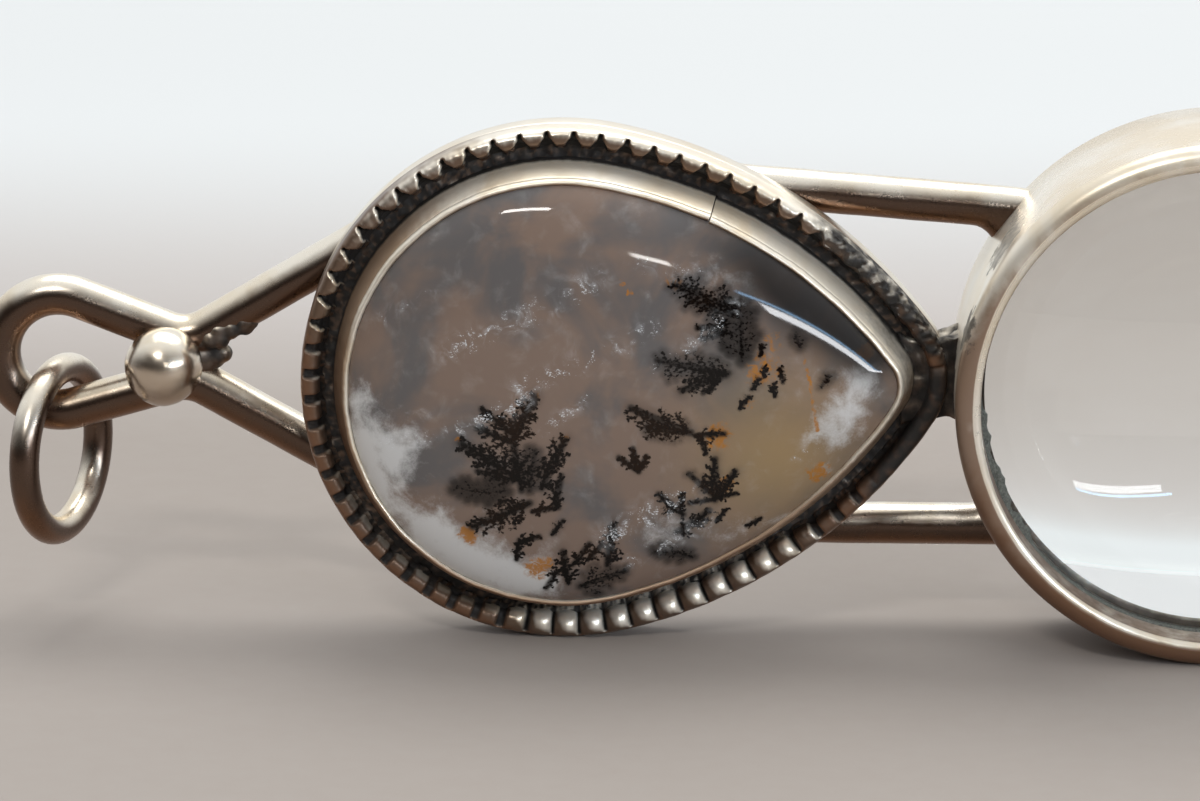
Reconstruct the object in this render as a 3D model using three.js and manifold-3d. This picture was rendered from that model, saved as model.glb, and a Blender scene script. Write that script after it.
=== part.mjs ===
import * as THREE from 'three';
import { mergeVertices } from 'three/addons/utils/BufferGeometryUtils.js';
import Module from 'manifold-3d';

// A pendant magnifier in silver: a lens in a deep round band, a pear-shaped stone in a beaded
// setting, a hairpin of round wire that carries both, and a hanging ring in the wire's loop.
// Millimetres, +Z up. It stands on edge, with its front to -Y and its long axis along X.

// Stone: a pear of a round end, two long flanks and a small round tip
const stoneRoundRadius = 14.4;
const stoneFlankRadius = 31;
const stoneTipRadius = 2.5;
const stoneTipReach = 22.3;
const stoneGirdleHeight = 3;
const stoneDomeHeight = 3.9;
const stoneDomeCentre = 3;

// Setting, from the stone outwards
const stoneClearance = 0.1;
const bezelWall = 0.65;
const bezelLipHeight = 0.75;
const bezelLipWall = 0.42;
const bezelSeamGap = 0.14;
const bezelSeamTurn = THREE.MathUtils.degToRad(64);
const channelWidth = 0.55;
const borderWidth = 1.8;
const borderFootHeight = 0.8;
const beadHeight = 1.1;
const beadPitch = 1.77;
const beadGrooveShare = 0.42;
const plateThickness = 1.8;
const neckHalfHeight = 2.75;
const settingTilt = THREE.MathUtils.degToRad(1.8);

// Frame wire, bent round pegs: places are those of the wire's middle line
const wireDiameter = 2.8;
const upperRailHeight = 13.7;
const upperRailEndHeight = 11.1;
const lowerRailHeight = 10.7;
const upperShoulderX = -2.3;
const lowerShoulderX = -5.1;
const shoulderBend = 10;
const waistX = -25.6;
const waistRise = 0.45;
const waistGap = 0.3;
const waistBend = 3;
const waistWebLeft = 1;
const waistWebRight = 2.3;
const waistWebThickness = 1.8;
const loopX = -34;
const loopRise = 0.75;
const loopBend = 4;
const railFillet = 0.6;
const railFilletReach = 1.8;

// Ball on the front of the waist
const ballDiameter = 5.3;
const ballShift = 1.2;
const ballSeat = 2.4;

// Hanging ring
const ringWireDiameter = 2.05;
const ringOuterDiameter = 13;
const ringPlay = 0.3;
const ringTurn = THREE.MathUtils.degToRad(-20.6);

// Lens and its band
const bandOuterRadius = 17.7;
const bandWall = 1.7;
const bandDepth = 11.7;
const bandEdgeRound = 1.1;
const bandInnerRound = 0.45;
const bandBackChamfer = 0.3;
const lensEdgeClearance = 0.2;
const lensRecess = 2.9;
const lensEdgeThickness = 2.6;
const lensSurfaceRadius = 46;
const seatWidth = 0.7;
const seatDepth = 1.2;
const cementWidth = 0.7;
const cementHeight = 0.6;

// Clearances and facet counts
const solderSeam = 0.05;
const solderGap = 0.3;
const neckGap = 0.4;
const bedClearance = 0.1;
const tipSteps = 8;
const flankSteps = 12;
const roundSteps = 30;
const beadSteps = 4;
const beadSectionSteps = 5;
const domeRings = 7;
const domeCrownStep = 0.5;
const wireSides = 12;
const bendStep = THREE.MathUtils.degToRad(20);
const railEndSteps = 3;
const ballSegments = 20;
const ballRings = 14;
const ringSides = 10;
const ringSegments = 36;
const latheSegments = 60;
const lensSteps = 5;
const outerCornerSteps = 4;
const innerCornerSteps = 3;
const keepOutSegments = 120;
const weld = 1e-4;

const wasm = await Module();
wasm.setup();

// Places worked out from the sizes above
const wireRadius = wireDiameter / 2;
const wireY = solderSeam + wireRadius;
const plateFrontY = -plateThickness;
const settingSeatY = plateFrontY - solderSeam;
const bezelOffset = stoneClearance + bezelWall;
const borderInnerOffset = bezelOffset + channelWidth;
const settingOffset = borderInnerOffset + borderWidth;
const settingRadius = stoneRoundRadius + settingOffset;
const tipX = stoneTipReach - stoneTipRadius;
const bandBackY = wireY + wireRadius;
const bandFrontY = bandBackY - bandDepth;

// The band stands on the same surface as the setting, and its wall just clears the setting's tip
const lensZ = bandOuterRadius - settingRadius;
const tipToLens = bandOuterRadius + neckGap + stoneTipRadius + settingOffset;
const tipToLensRise = lensZ - tipX * Math.sin(settingTilt);
const lensX = tipX * Math.cos(settingTilt) + Math.sqrt(tipToLens ** 2 - tipToLensRise ** 2);

// Closed surface with shared corners, its faces turned outwards
function closed(geometry) {
  geometry.deleteAttribute('normal');
  geometry.deleteAttribute('uv');
  const merged = mergeVertices(geometry, weld);
  const corners = merged.getAttribute('position');
  const faces = merged.getIndex().array;
  const [a, b, c] = [new THREE.Vector3(), new THREE.Vector3(), new THREE.Vector3()];
  let volume = 0;
  for (let i = 0; i < faces.length; i += 3) {
    a.fromBufferAttribute(corners, faces[i]);
    b.fromBufferAttribute(corners, faces[i + 1]);
    c.fromBufferAttribute(corners, faces[i + 2]);
    volume += a.dot(b.cross(c));
  }
  if (volume < 0) {
    faces.reverse();
  }
  return merged;
}

function solid(geometry) {
  const shape = closed(geometry);
  return new wasm.Manifold(new wasm.Mesh({
    numProp: 3,
    vertProperties: new Float32Array(shape.getAttribute('position').array),
    triVerts: new Uint32Array(shape.getIndex().array),
  }));
}

function surface(manifold) {
  const cut = manifold.getMesh();
  const geometry = new THREE.BufferGeometry();
  geometry.setAttribute('position', new THREE.BufferAttribute(cut.vertProperties, 3));
  geometry.setIndex(new THREE.BufferAttribute(cut.triVerts, 1));
  return geometry;
}

// Skin over rings of points that all have the same even count. A loop joins the last ring to the
// first, and otherwise each end ring is closed by a ladder of faces.
function skin(rings, loop) {
  const count = rings[0].length;
  const faces = [];
  const bands = loop ? rings.length : rings.length - 1;
  for (let i = 0; i < bands; i += 1) {
    const here = i * count;
    const next = ((i + 1) % rings.length) * count;
    for (let j = 0; j < count; j += 1) {
      const k = (j + 1) % count;
      faces.push(here + j, here + k, next + k, here + j, next + k, next + j);
    }
  }
  if (!loop) {
    const last = (rings.length - 1) * count;
    for (let j = 0; j < count / 2 - 1; j += 1) {
      const [a, b, c, d] = [j, j + 1, count - 2 - j, count - 1 - j];
      faces.push(a, c, b, a, d, c);
      faces.push(last + a, last + b, last + c, last + a, last + c, last + d);
    }
  }
  const geometry = new THREE.BufferGeometry().setFromPoints(rings.flat());
  geometry.setIndex(faces);
  return geometry;
}

// Pear outline: four tangent arcs, each an exact parallel of itself at any offset
const toRound = stoneFlankRadius - stoneRoundRadius;
const toTip = stoneFlankRadius - stoneTipRadius;
const flankX = (toRound ** 2 - toTip ** 2 + tipX ** 2) / (2 * tipX);
const flankZ = Math.sqrt(toRound ** 2 - flankX ** 2);
const tipTurn = Math.atan2(flankZ, tipX - flankX);
const roundTurn = Math.atan2(flankZ, -flankX);
const fullTurn = 2 * Math.PI;
const pearArcs = [
  { x: tipX, z: 0, radius: stoneTipRadius, from: -tipTurn, to: tipTurn, steps: tipSteps },
  { x: flankX, z: -flankZ, radius: stoneFlankRadius, from: tipTurn, to: roundTurn, steps: flankSteps },
  { x: 0, z: 0, radius: stoneRoundRadius, from: roundTurn, to: fullTurn - roundTurn, steps: roundSteps },
  {
    x: flankX, z: flankZ, radius: stoneFlankRadius,
    from: fullTurn - roundTurn, to: fullTurn - tipTurn, steps: flankSteps,
  },
];

function pearStation(arc, turn) {
  return { ...arc, turn };
}

function pearPoint(station, offset, y) {
  const reach = station.radius + offset;
  const x = station.x + reach * Math.cos(station.turn);
  const z = station.z + reach * Math.sin(station.turn);
  return new THREE.Vector3(x, y, z);
}

const pearStations = pearArcs.flatMap((arc) => {
  const step = (arc.to - arc.from) / arc.steps;
  return Array.from({ length: arc.steps }, (_, i) => pearStation(arc, arc.from + i * step));
});

function pearRing(offset, y) {
  return pearStations.map((station) => pearPoint(station, offset, y));
}

// Stone surface over a station: the girdle's outline drawn in towards the dome's centre
function domePoint(station, rise) {
  const share = Math.sqrt(1 - (rise / stoneDomeHeight) ** 2);
  const edge = pearPoint(station, 0, settingSeatY - stoneGirdleHeight - rise);
  edge.x = stoneDomeCentre + (edge.x - stoneDomeCentre) * share;
  edge.z *= share;
  return edge;
}

function makeStone() {
  const rings = [pearRing(0, settingSeatY), pearRing(0, settingSeatY - stoneGirdleHeight)];
  for (let i = 1; i <= domeRings; i += 1) {
    const rise = stoneDomeHeight * Math.sin((i / (domeRings + domeCrownStep)) * (Math.PI / 2));
    rings.push(pearStations.map((station) => domePoint(station, rise)));
  }
  return skin(rings, false);
}

// Bezel: a strip bent round the stone, open at its seam, its lip leaning in over the dome
function makeBezel() {
  const flank = pearArcs[1];
  const halfGap = bezelSeamGap / 2 / (flank.radius + bezelOffset);
  const before = pearStation(flank, bezelSeamTurn - halfGap);
  const after = pearStation(flank, bezelSeamTurn + halfGap);
  const seamIndex = pearStations.findIndex((s) => s.z === flank.z && s.turn > bezelSeamTurn + halfGap);
  const keptBefore = pearStations.slice(0, seamIndex).filter((s) => {
    return s.z !== flank.z || s.turn < bezelSeamTurn - halfGap;
  });
  const strip = [after, ...pearStations.slice(seamIndex), ...keptBefore, before];
  const topY = settingSeatY - stoneGirdleHeight;
  const rings = strip.map((station) => {
    const lip = domePoint(station, bezelLipHeight);
    const normal = new THREE.Vector3(Math.cos(station.turn), 0, Math.sin(station.turn));
    return [
      pearPoint(station, bezelOffset, settingSeatY),
      pearPoint(station, bezelOffset, topY),
      lip.clone().addScaledVector(normal, stoneClearance + bezelLipWall),
      lip.clone().addScaledVector(normal, stoneClearance),
      pearPoint(station, stoneClearance, topY),
      pearPoint(station, stoneClearance, settingSeatY),
    ];
  });
  return skin(rings, false);
}

// Beaded border: a strip with a smooth foot and a row of rounded beads, one groove between two
function makeBorder() {
  const middle = (borderInnerOffset + settingOffset) / 2;
  const lengths = pearArcs.map((arc) => (arc.radius + middle) * (arc.to - arc.from));
  const total = lengths.reduce((sum, length) => sum + length, 0);
  const beads = Math.round(total / beadPitch);
  const rings = [];
  for (let i = 0; i < beads * beadSteps; i += 1) {
    let along = (total * i) / (beads * beadSteps);
    let index = 0;
    while (along > lengths[index]) {
      along -= lengths[index];
      index += 1;
    }
    const arc = pearArcs[index];
    const station = pearStation(arc, arc.from + along / (arc.radius + middle));
    const phase = ((i % beadSteps) / beadSteps) * 2 - 1;
    const swell = Math.sqrt(1 - phase ** 2 * (1 - beadGrooveShare ** 2));
    rings.push(beadSection(station, swell));
  }
  return skin(rings, true);
}

function beadSection(station, swell) {
  const halfWidth = borderWidth / 2;
  const middle = borderInnerOffset + halfWidth;
  const points = [
    pearPoint(station, borderInnerOffset, settingSeatY),
    pearPoint(station, settingOffset, settingSeatY),
  ];
  for (let i = 0; i <= beadSectionSteps; i += 1) {
    const turn = (Math.PI * i) / beadSectionSteps;
    const reach = halfWidth * Math.cos(turn);
    const rise = borderFootHeight + beadHeight * swell * Math.sin(turn);
    points.push(pearPoint(station, middle + reach, settingSeatY - rise));
  }
  return points;
}

// Round band that other pieces are cut clear of
function bandKeepOut(gap) {
  const radius = bandOuterRadius + gap;
  const post = new THREE.CylinderGeometry(radius, radius, bandDepth + 2 * gap, keepOutSegments);
  post.translate(lensX, (bandFrontY + bandBackY) / 2, lensZ);
  return solid(post);
}

// The setting is soldered on with its tip a little up, turned about the middle of its round end
function tilted(geometry) {
  return geometry.rotateY(-settingTilt);
}

// Left side of the band's wall at a height
function bandLeft(z) {
  return lensX - Math.sqrt(bandOuterRadius ** 2 - (z - lensZ) ** 2);
}

// Plate under the setting, with a neck that reaches to the lens band
function makePlate() {
  const pear = skin([pearRing(settingOffset, 0), pearRing(settingOffset, plateFrontY)], false);
  const neckLength = settingOffset + neckGap + neckHalfHeight;
  const neck = new THREE.BoxGeometry(neckLength, plateThickness, 2 * neckHalfHeight);
  neck.translate(stoneTipReach + neckLength / 2, plateFrontY / 2, 0);
  return surface(solid(tilted(pear)).add(solid(tilted(neck))).subtract(bandKeepOut(solderGap)));
}

// Frame wire: straight runs between pegs. A peg's turn is its bend, positive to the left.
const waistSpread = (wireDiameter + waistGap) / 2;
const pegs = [
  { x: bandLeft(upperRailEndHeight), z: upperRailEndHeight, turn: 0 },
  { x: upperShoulderX, z: upperRailHeight - shoulderBend, turn: shoulderBend },
  { x: waistX, z: waistRise + waistSpread + waistBend, turn: -waistBend },
  { x: loopX, z: loopRise, turn: loopBend },
  { x: waistX, z: waistRise - waistSpread - waistBend, turn: -waistBend },
  { x: lowerShoulderX, z: shoulderBend - lowerRailHeight, turn: shoulderBend },
  { x: bandLeft(-lowerRailHeight), z: -lowerRailHeight, turn: 0 },
];

function runHeading(from, to) {
  const [dx, dz] = [to.x - from.x, to.z - from.z];
  return Math.atan2(dz, dx) - Math.asin((to.turn - from.turn) / Math.hypot(dx, dz));
}

function pegPoint(peg, heading) {
  return { x: peg.x + peg.turn * Math.sin(heading), z: peg.z - peg.turn * Math.cos(heading), heading };
}

// End of a rail: it runs into the band's wall, and its solder fillet flares towards it
function railEnd(peg, heading, side) {
  const fillet = Array.from({ length: railEndSteps + 1 }, (_, i) => (railFilletReach * i) / railEndSteps);
  return [-wireRadius, ...fillet].map((along) => ({
    x: peg.x + side * along * Math.cos(heading),
    z: peg.z + side * along * Math.sin(heading),
    heading,
    swell: railFillet * (1 - Math.max(along, 0) / railFilletReach) ** 2,
  }));
}

function wireStations() {
  const headings = pegs.slice(1).map((peg, i) => runHeading(pegs[i], peg));
  const stations = railEnd(pegs[0], headings[0], 1);
  for (let i = 1; i < pegs.length - 1; i += 1) {
    const turned = headings[i] - headings[i - 1];
    const whole = Math.sign(pegs[i].turn) * fullTurn;
    const sweep = turned * whole < 0 ? turned + whole : turned % fullTurn;
    const steps = Math.ceil(Math.abs(sweep) / bendStep);
    for (let step = 0; step <= steps; step += 1) {
      stations.push(pegPoint(pegs[i], headings[i - 1] + (sweep * step) / steps));
    }
  }
  stations.push(...railEnd(pegs.at(-1), headings.at(-1), -1).reverse());
  return stations;
}

function wireSkin(gap) {
  const radius = wireRadius + gap;
  const rings = wireStations().map((station) => {
    const spread = radius + (station.swell ?? 0);
    return Array.from({ length: wireSides }, (_, i) => {
      const around = (fullTurn * i) / wireSides;
      const across = spread * Math.cos(around);
      const x = station.x - across * Math.sin(station.heading);
      const z = station.z + across * Math.cos(station.heading);
      return new THREE.Vector3(x, wireY + radius * Math.sin(around), z);
    });
  });
  return solid(skin(rings, false));
}

// Solder that fills the waist between the two passes of the wire
function waistWeb(gap) {
  const width = waistWebLeft + waistWebRight + 2 * gap;
  const web = new THREE.BoxGeometry(width, waistWebThickness + 2 * gap, 2 * waistSpread);
  web.translate(waistX + (waistWebRight - waistWebLeft) / 2, wireY, waistRise);
  return solid(web);
}

function makeFrameWire() {
  return surface(wireSkin(0).add(waistWeb(0)).subtract(bandKeepOut(solderGap)));
}

function makeBall() {
  const ball = new THREE.SphereGeometry(ballDiameter / 2, ballSegments, ballRings);
  ball.translate(waistX - ballShift, wireY - ballSeat, waistRise);
  return surface(solid(ball).subtract(wireSkin(solderGap)).subtract(waistWeb(solderGap)));
}

const ringCentreRadius = (ringOuterDiameter - ringWireDiameter) / 2;
const ringDrop = ringCentreRadius - ringWireDiameter / 2 - wireRadius - ringPlay;

function makeRing() {
  const ring = new THREE.TorusGeometry(ringCentreRadius, ringWireDiameter / 2, ringSides, ringSegments);
  return ring.rotateY(Math.PI / 2);
}

// Turned pieces of the lens have flat facets at the top, bottom, left and right
const facetReach = 1 / Math.cos(Math.PI / latheSegments);

function turned(profile) {
  const points = profile.map(([radius, y]) => new THREE.Vector2(radius * facetReach, y));
  return new THREE.LatheGeometry(points, latheSegments, Math.PI / latheSegments);
}

function corner(radius, y, round, from, to, steps) {
  return Array.from({ length: steps + 1 }, (_, i) => {
    const turn = THREE.MathUtils.degToRad(from + ((to - from) * i) / steps);
    return [radius + round * Math.cos(turn), y + round * Math.sin(turn)];
  });
}

const bandInnerRadius = bandOuterRadius - bandWall;
const lensRadius = bandInnerRadius - lensEdgeClearance;
const lensFrontY = bandFrontY + lensRecess;
const lensBackY = lensFrontY + lensEdgeThickness;

// How far the lens surface stands beyond its edge at a distance from the middle
function lensBulge(radius) {
  const drop = Math.sqrt(lensSurfaceRadius ** 2 - lensRadius ** 2);
  return Math.sqrt(lensSurfaceRadius ** 2 - radius ** 2) - drop;
}

function makeBand() {
  const outerRound = bandOuterRadius - bandEdgeRound;
  const innerRound = bandInnerRadius + bandInnerRound;
  const profile = [
    ...corner(outerRound, bandFrontY + bandEdgeRound, bandEdgeRound, 0, -90, outerCornerSteps),
    ...corner(innerRound, bandFrontY + bandInnerRound, bandInnerRound, -90, -180, innerCornerSteps),
    [bandInnerRadius, bandBackY],
    [bandOuterRadius - bandBackChamfer, bandBackY],
    [bandOuterRadius, bandBackY - bandBackChamfer],
  ];
  return turned([...profile, profile[0]]);
}

function makeLens() {
  const shares = Array.from({ length: lensSteps + 1 }, (_, i) => i / lensSteps);
  const front = shares.map((share) => [share * lensRadius, lensFrontY - lensBulge(share * lensRadius)]);
  const back = shares.map((share) => [share * lensRadius, lensBackY + lensBulge(share * lensRadius)]);
  return turned([...front, ...back.reverse()]);
}

const seatInnerRadius = bandInnerRadius - seatWidth;

function makeSeat() {
  const outer = bandInnerRadius - solderSeam;
  const front = lensBackY + lensBulge(seatInnerRadius) + bedClearance;
  const profile = [
    [outer, front],
    [seatInnerRadius, front],
    [seatInnerRadius, front + seatDepth],
    [outer, front + seatDepth],
  ];
  return turned([...profile, profile[0]]);
}

function makeCement() {
  const outer = bandInnerRadius - solderSeam;
  const inner = outer - cementWidth;
  const outerY = lensFrontY - bedClearance;
  const innerY = lensFrontY - lensBulge(inner) - bedClearance;
  const profile = [
    [outer, outerY],
    [outer, outerY - cementHeight],
    [inner, innerY - solderSeam],
    [inner, innerY],
  ];
  return turned([...profile, profile[0]]);
}

// Finishes
const wornSilver = { color: 0xb9b1a5, roughness: 0.34, metalness: 1 };
const darkSilver = { color: 0x8d8378, roughness: 0.42, metalness: 1 };
const agate = { color: 0x8a8078, roughness: 0.12, metalness: 0 };
const glass = { color: 0xe8f0f0, roughness: 0.03, metalness: 0, transparent: true, opacity: 0.35 };
const putty = { color: 0x6d7068, roughness: 0.9, metalness: 0 };

const pendant = new THREE.Group();

function addPiece(name, geometry, finish) {
  const shape = closed(geometry);
  shape.computeVertexNormals();
  const mesh = new THREE.Mesh(shape, new THREE.MeshStandardMaterial(finish));
  mesh.name = name;
  pendant.add(mesh);
  return mesh;
}

addPiece('frame_wire', makeFrameWire(), wornSilver);
addPiece('waist_ball', makeBall(), wornSilver);
addPiece('backplate', makePlate(), darkSilver);
addPiece('beaded_border', tilted(makeBorder()), darkSilver);
addPiece('stone_bezel', tilted(makeBezel()), wornSilver);
addPiece('agate_cabochon', tilted(makeStone()), agate);

const jumpRing = addPiece('jump_ring', makeRing(), wornSilver);
jumpRing.position.set(loopX, wireY, loopRise - loopBend - ringDrop);
jumpRing.rotation.z = ringTurn;

const lensParts = [
  addPiece('lens_band', makeBand(), wornSilver),
  addPiece('lens_seat', makeSeat(), darkSilver),
  addPiece('lens', makeLens(), glass),
  addPiece('lens_cement', makeCement(), putty),
];
for (const part of lensParts) {
  part.position.set(lensX, 0, lensZ);
}

// Origin: under the middle of the whole pendant, on the surface that it stands on
const reach = new THREE.Box3().setFromObject(pendant, true);
const middle = reach.getCenter(new THREE.Vector3());
pendant.position.set(-middle.x, -middle.y, settingRadius);

export default pendant;
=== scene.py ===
import math
import random

import bmesh
import bpy
import numpy as np
from mathutils import Matrix, Vector, noise


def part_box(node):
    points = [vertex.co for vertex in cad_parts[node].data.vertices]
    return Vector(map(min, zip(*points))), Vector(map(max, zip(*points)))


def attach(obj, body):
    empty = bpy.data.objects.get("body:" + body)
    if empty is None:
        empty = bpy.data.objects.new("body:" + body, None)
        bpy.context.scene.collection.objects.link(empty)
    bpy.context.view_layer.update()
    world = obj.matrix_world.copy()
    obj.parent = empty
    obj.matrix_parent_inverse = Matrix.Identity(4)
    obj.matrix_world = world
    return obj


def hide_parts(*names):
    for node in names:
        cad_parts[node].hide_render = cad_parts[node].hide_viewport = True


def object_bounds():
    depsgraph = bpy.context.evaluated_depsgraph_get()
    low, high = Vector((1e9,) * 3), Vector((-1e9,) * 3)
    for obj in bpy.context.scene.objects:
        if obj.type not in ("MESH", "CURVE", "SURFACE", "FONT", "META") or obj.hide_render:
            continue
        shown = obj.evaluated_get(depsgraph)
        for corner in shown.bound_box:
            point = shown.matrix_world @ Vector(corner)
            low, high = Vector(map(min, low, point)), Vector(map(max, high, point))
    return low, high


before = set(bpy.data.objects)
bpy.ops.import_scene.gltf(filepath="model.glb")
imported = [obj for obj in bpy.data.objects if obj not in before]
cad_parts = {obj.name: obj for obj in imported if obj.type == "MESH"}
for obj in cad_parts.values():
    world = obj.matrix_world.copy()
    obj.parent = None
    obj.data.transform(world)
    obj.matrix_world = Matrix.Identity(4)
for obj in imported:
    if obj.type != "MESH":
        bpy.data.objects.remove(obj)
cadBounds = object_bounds()
scene = bpy.context.scene
mm = 0.001
weld = 1e-4  # points closer than this, in millimetres, are one

# Shapes are drawn in millimetres from the middle of the stone's round end, with 0 at the plate's back,
# the front to -Y and up to +Z, and are put in place at the end.
pear = {"roundRadius": 14.4, "flankRadius": 31, "tipRadius": 2.5, "tipReach": 22.3, "tilt": 1.8}
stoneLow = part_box("agate_cabochon")[0]
bandLow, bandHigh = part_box("lens_band")
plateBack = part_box("backplate")[1].y
pearCentre = Vector((stoneLow.x, 0, stoneLow.z)) + Vector((1, 0, 1)) * pear["roundRadius"] * mm
pearCentre.y = plateBack
lensCentre = ((bandLow + bandHigh) / 2 - pearCentre) / mm
bandRadius = (bandHigh.z - bandLow.z) / 2 / mm
seat = (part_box("agate_cabochon")[1].y - plateBack) / mm  # front of the plate, where the setting stands
turnAxis = (0, -1, 0)  # a positive turn goes from +X to +Z


# Shader nodes
def maths(operation, flipped=False):
    def work(self, other):
        first, second = (other, self) if flipped else (self, other)
        return self.shade.node("Math", {"operation": operation}, {0: first, 1: second})
    return work


class Value:
    def __init__(self, shade, socket):
        self.shade = shade
        self.socket = socket

    __add__, __radd__ = maths("ADD"), maths("ADD", True)
    __sub__, __rsub__ = maths("SUBTRACT"), maths("SUBTRACT", True)
    __mul__, __rmul__ = maths("MULTIPLY"), maths("MULTIPLY", True)
    most, least = maths("MAXIMUM"), maths("MINIMUM")

    def step(self, low, high):  # soft step from 0 at low to 1 at high
        sockets = {"Value": self, "From Min": low, "From Max": high}
        return self.shade.node("MapRange", {"interpolation_type": "SMOOTHSTEP"}, sockets)


class Shade:
    def __init__(self, owner):
        owner.use_nodes = True
        self.tree = owner.node_tree
        self.tree.nodes.clear()

    def node(self, kind, settings=None, sockets=None, output=0):
        new = self.tree.nodes.new("ShaderNode" + kind)
        for key, value in (settings or {}).items():
            setattr(new, key, value)
        for key, value in (sockets or {}).items():
            if isinstance(value, Value):
                self.tree.links.new(value.socket, new.inputs[key])
            else:
                new.inputs[key].default_value = value
        return Value(self, new.outputs[output]) if new.outputs else None

    def place(self, stretch=(1, 1, 1)):  # object coordinates in millimetres
        coords = self.node("TexCoord", output="Object")
        scale = tuple(1000 * s for s in stretch)
        return self.node("Mapping", None, {"Vector": coords, "Scale": scale})

    def noise(self, scale, detail=4, stretch=(1, 1, 1), roughness=0.55, distortion=0):
        sockets = {"Vector": self.place(stretch), "Scale": scale, "Detail": detail,
                   "Roughness": roughness, "Distortion": distortion}
        return self.node("TexNoise", None, sockets)

    def layer(self, name):  # a number that the mesh carries at its points
        return self.node("Attribute", {"attribute_name": name}, output="Fac")

    def mix(self, factor, first, second):
        sockets = {0: factor, 6: first, 7: second}
        return self.node("Mix", {"data_type": "RGBA"}, sockets, 2)

    def near(self, point, reach):  # 1 at a point in millimetres, 0 at the reach
        away = self.node("VectorMath", {"operation": "DISTANCE"}, {0: self.place(), 1: point}, "Value")
        return away.step(reach, 0)

    def bump(self, height, strength, distance):
        sockets = {"Height": height, "Strength": strength, "Distance": distance * mm}
        return self.node("Bump", None, sockets)

    def surface(self, **sockets):
        names = {key.replace("_", " "): value for key, value in sockets.items()}
        shader = self.node("BsdfPrincipled", None, names)
        self.node("OutputMaterial", None, {"Surface": shader})


def newMaterial(name):
    material = bpy.data.materials.new(name)
    return material, Shade(material)


def colour(red, green, blue):
    return (red, green, blue, 1.0)


silverTones = {
    "bright": colour(0.89, 0.835, 0.73), "straw": colour(0.82, 0.715, 0.55),
    # grey and brown go on skin facing away from the light: painted shade and reflection, as well as real
    # tarnish
    "grey": colour(0.15, 0.113, 0.09), "brown": colour(0.20, 0.105, 0.06),
    "soot": colour(0.020, 0.018, 0.017),
}


# Silver painted bright on the side facing the light and grey to brown away from it, as painted shade and
# reflection, with real tarnish in random patches, and sooty where the mesh carries soot
def makeSilver(name, tarnishAndShade, stretch=(1, 1, 1), roughness=0.2, matte=0.0, mid=silverTones["grey"], stains=(),
               dents=0.4, patchy=0.28):
    material, s = newMaterial(name)
    t = silverTones
    cloud = s.noise(0.16, 5, distortion=0.6)
    mottle = s.noise(1.3, 5)
    grain = s.noise(14, 3, stretch)
    scratch = s.noise(5, 6, tuple(k * 4 if k == 1 else k for k in stretch), roughness=0.75)
    tone = s.mix(cloud.step(0.38, 0.68), t["bright"], t["straw"])
    # painted shade and reflection: the tone turns grey, then brown, as the skin faces away from the light
    facing = s.layer("under") - s.layer("polish") + (mottle - 0.5) * 0.09 + (cloud - 0.5) * patchy
    tone = s.mix(facing.step(0.13, 0.42) * tarnishAndShade, tone, mid)
    tone = s.mix(facing.step(0.52, 0.85) * tarnishAndShade, tone, t["brown"])
    soot = s.layer("soot")
    for point, reach, strength in stains:
        soot = soot.most((s.near(point, reach) * 1.5 + mottle * 2.4 - 1.65).step(0, 0.5) * strength)
    soot = (soot + (mottle - 0.5) * 0.55 * soot.step(0.02, 0.3)).step(0.08, 0.9)
    tone = s.mix(soot, tone, t["soot"])
    rough = roughness + mottle * 0.1 + scratch * 0.06 + soot * 0.28 - s.layer("polish") * 0.2
    height = grain * 0.2 + scratch * 0.2 + mottle * dents + s.noise(4.5, 4) * soot * 2.6
    normal = s.bump(height, 0.3, 0.03)
    s.surface(Base_Color=tone, Metallic=1 - matte - soot * 0.45, Roughness=rough, Normal=normal)
    return material


# Meshes
def meshRows(elements, key):
    rows = np.empty(len(elements) * 3)
    elements.foreach_get(key, rows)
    return rows.reshape(-1, 3)


def setLayer(mesh, name, values):  # a number at each point, for the shader
    mesh.attributes.new(name, "FLOAT", "POINT").data.foreach_set("value", values)


def setUnder(mesh, wearAndLight):  # painted shade: 0 where the skin faces the light, 1 where it faces away
    setLayer(mesh, "under", 0.5 - 0.5 * meshRows(mesh.vertex_normals, "vector") @ wearAndLight)


def setVerts(bm, **layers):  # the same, before the mesh is made
    for name, values in layers.items():
        layer = bm.verts.layers.float.new(name)
        for vert, value in zip(bm.verts, values):
            vert[layer] = value


def addPiece(bm, name, material, nodes=(), body="pendant", sharp=40, wearAndLight=(0, 0, 1)):
    bmesh.ops.remove_doubles(bm, verts=bm.verts, dist=1e-7)
    bmesh.ops.recalc_face_normals(bm, faces=bm.faces)
    mesh = bpy.data.meshes.new(name)
    bm.to_mesh(mesh)
    bm.free()
    mesh.shade_smooth()
    mesh.set_sharp_from_angle(angle=math.radians(sharp))
    mesh.materials.append(material)
    setUnder(mesh, wearAndLight)
    piece = bpy.data.objects.new(name, mesh)
    scene.collection.objects.link(piece)
    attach(piece, body)
    if nodes:
        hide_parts(*nodes)
    print("made", name, len(mesh.polygons), "faces")
    return piece


def toPlace(bm, tilted=False):  # from millimetres about the pear's middle to metres in the frame
    if tilted:
        turn = Matrix.Rotation(math.radians(-pear["tilt"]), 3, "Y")
        bmesh.ops.rotate(bm, verts=bm.verts, cent=(0, 0, 0), matrix=turn)
    bmesh.ops.scale(bm, verts=bm.verts, vec=(mm, mm, mm))
    bmesh.ops.translate(bm, verts=bm.verts, vec=pearCentre)


def chain(bm, points, closed=False):  # vertices joined by edges, as a start for an operator
    verts = [bm.verts.new(p) for p in points]
    ends = verts[1:] + verts[:1] if closed else verts[1:]
    return verts + [bm.edges.new(pair) for pair in zip(verts, ends)]


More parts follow.
